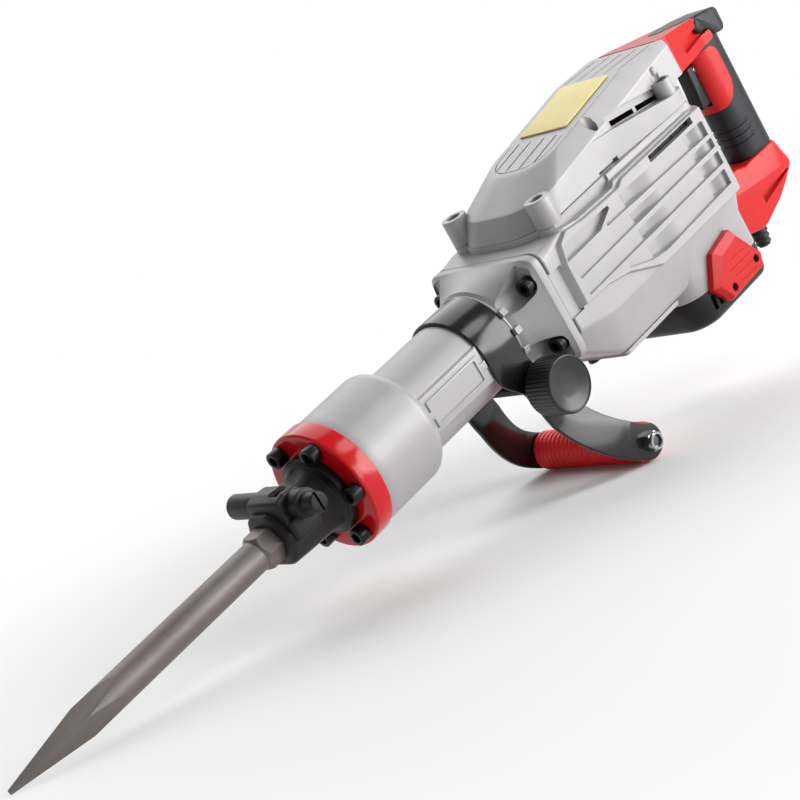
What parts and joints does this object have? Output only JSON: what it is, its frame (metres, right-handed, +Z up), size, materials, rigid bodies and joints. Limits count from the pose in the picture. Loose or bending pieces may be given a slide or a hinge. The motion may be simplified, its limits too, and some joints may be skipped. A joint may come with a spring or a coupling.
{
  "type": "electric demolition hammer",
  "caption": "Electric demolition hammer with a pointed hex-shank bit, a D-shaped rear handle with a trigger, and a side handle clamped round its barrel.",
  "frame": {"origin": "centre of the bounding box at the ground, with the hammer laid on the tip of its bit and on its side grip", "axes": "+X along the hammer from the bit to the rear handle, tilted nose-down about Y by the rest pose; +Z up; -Y is the side with the clamp knob"},
  "size_m": [1.0186, 0.1574, 0.3597],
  "materials": {
    "black_plastic": "black moulded plastic",
    "black_rubber": "soft black overmould",
    "black_steel": "black satin coat on steel",
    "bright_steel": "bright machined or plated steel",
    "carbon": "carbon",
    "copper": "wound copper and laminated steel",
    "forged_steel": "forged steel with a dull brownish skin",
    "grey_paint": "satin grey paint on cast aluminium",
    "plate_yellow": "blank pale yellow plate",
    "red_paint": "gloss red paint",
    "red_plastic": "moulded red plastic"
  },
  "bodies": {
    "housing": {"bottom_plate": "grey_paint", "brush_cover_left": "red_plastic", "brush_cover_right": "red_plastic", "carbon_brush_left": "carbon", "carbon_brush_right": "carbon", "cord_gland": "black_rubber", "cover_screw_1": "black_steel", "cover_screw_2": "black_steel", "cover_screw_3": "black_steel", "cover_screw_4": "black_steel", "crank_bearing": "bright_steel", "crank_case": "grey_paint", "cylinder_case": "grey_paint", "cylinder_sleeve": "bright_steel", "flange_bolt_1": "black_steel", "flange_bolt_2": "black_steel", "flange_bolt_3": "black_steel", "flange_bolt_4": "black_steel", "front_ring": "red_paint", "gear_cover": "grey_paint", "handle_overmould": "black_rubber", "motor_bearing_lower": "bright_steel", "motor_bearing_upper": "bright_steel", "plate_screw_1": "black_steel", "plate_screw_2": "black_steel", "rating_plate": "plate_yellow", "rear_handle": "red_plastic", "retainer_plug": "black_steel", "ring_bolt_1": "black_steel", "ring_bolt_2": "black_steel", "ring_bolt_3": "black_steel", "ring_bolt_4": "black_steel", "ring_bolt_5": "black_steel", "ring_bolt_6": "black_steel", "stator": "forged_steel", "switch_block": "black_plastic", "tail_cover": "black_plastic", "tool_retainer": "black_steel", "trigger_pin": "bright_steel"},
    "bit": {"chisel_bit": "forged_steel"},
    "lever": {"retainer_lever": "black_steel"},
    "striker": {"striker": "bright_steel"},
    "piston": {"piston": "bright_steel", "wrist_pin": "bright_steel"},
    "rod": {"connecting_rod": "bright_steel"},
    "crank": {"crankshaft": "bright_steel", "crank_gear": "bright_steel"},
    "idler": {"idler_gear": "bright_steel"},
    "motor": {"armature": "copper", "fan": "black_plastic"},
    "trigger": {"trigger": "black_plastic"},
    "strap": {"handle_strap": "black_steel"},
    "side_handle": {"pivot_bolt": "black_steel", "side_arm_left": "black_steel", "side_arm_right": "black_steel", "side_grip": "red_plastic", "grip_bolt": "bright_steel", "grip_nut": "bright_steel"},
    "knob": {"clamp_knob": "black_plastic"}
  },
  "joints": [
    {"name": "bit_slide", "type": "slide", "parent": "housing", "child": "bit", "axis": [-0.9655, 0, -0.2606], "range_m": [0, 0.02]},
    {"name": "lever_turn", "type": "hinge", "parent": "housing", "child": "lever", "pos_m": [-0.20703, 0.0016, 0.10407], "axis": [0, 1, 0], "range_deg": [0, 180]},
    {"name": "striker_slide", "type": "slide", "parent": "housing", "child": "striker", "axis": [0.9655, 0, 0.2606], "range_m": [0, 0.04]},
    {"name": "piston_slide", "type": "slide", "parent": "housing", "child": "piston", "axis": [0.9655, 0, 0.2606], "range_m": [0, 0.04]},
    {"name": "rod_swing", "type": "hinge", "parent": "piston", "child": "rod", "pos_m": [0.04268, 0.0016, 0.15076], "axis": [-0.2606, 0, 0.9655], "range_deg": [-8.5, 8.5]},
    {"name": "crank_spin", "type": "hinge", "parent": "housing", "child": "crank", "pos_m": [0.17721, 0.0016, 0.24714], "axis": [-0.2606, 0, 0.9655], "continuous": true},
    {"name": "idler_spin", "type": "hinge", "parent": "housing", "child": "idler", "pos_m": [0.23369, 0.0016, 0.26239], "axis": [-0.2606, 0, 0.9655], "continuous": true},
    {"name": "motor_spin", "type": "hinge", "parent": "housing", "child": "motor", "pos_m": [0.288, 0.0016, 0.27705], "axis": [-0.2606, 0, 0.9655], "continuous": true},
    {"name": "trigger_pull", "type": "hinge", "parent": "housing", "child": "trigger", "pos_m": [0.41744, 0.0016, 0.30784], "axis": [0, -1, 0], "range_deg": [0, 12], "stiffness_Nm_per_rad": 0.6, "springref_deg": -17.19},
    {"name": "strap_swivel", "type": "hinge", "parent": "housing", "child": "strap", "pos_m": [0.03327, 0.0016, 0.14822], "axis": [0.9655, 0, 0.2606], "range_deg": [-180, 180]},
    {"name": "arm_swing", "type": "hinge", "parent": "strap", "child": "side_handle", "pos_m": [0.06323, 0.0016, 0.10244], "axis": [0, -1, 0], "range_deg": [-80, 15]},
    {"name": "knob_turn", "type": "hinge", "parent": "strap", "child": "knob", "pos_m": [0.06323, 0.0016, 0.10244], "axis": [0, 1, 0], "continuous": true}
  ],
  "couplings": [
    {"joint": "idler_spin", "follows": "crank_spin", "ratio": -2.25},
    {"joint": "motor_spin", "follows": "crank_spin", "ratio": 9}
  ]
}
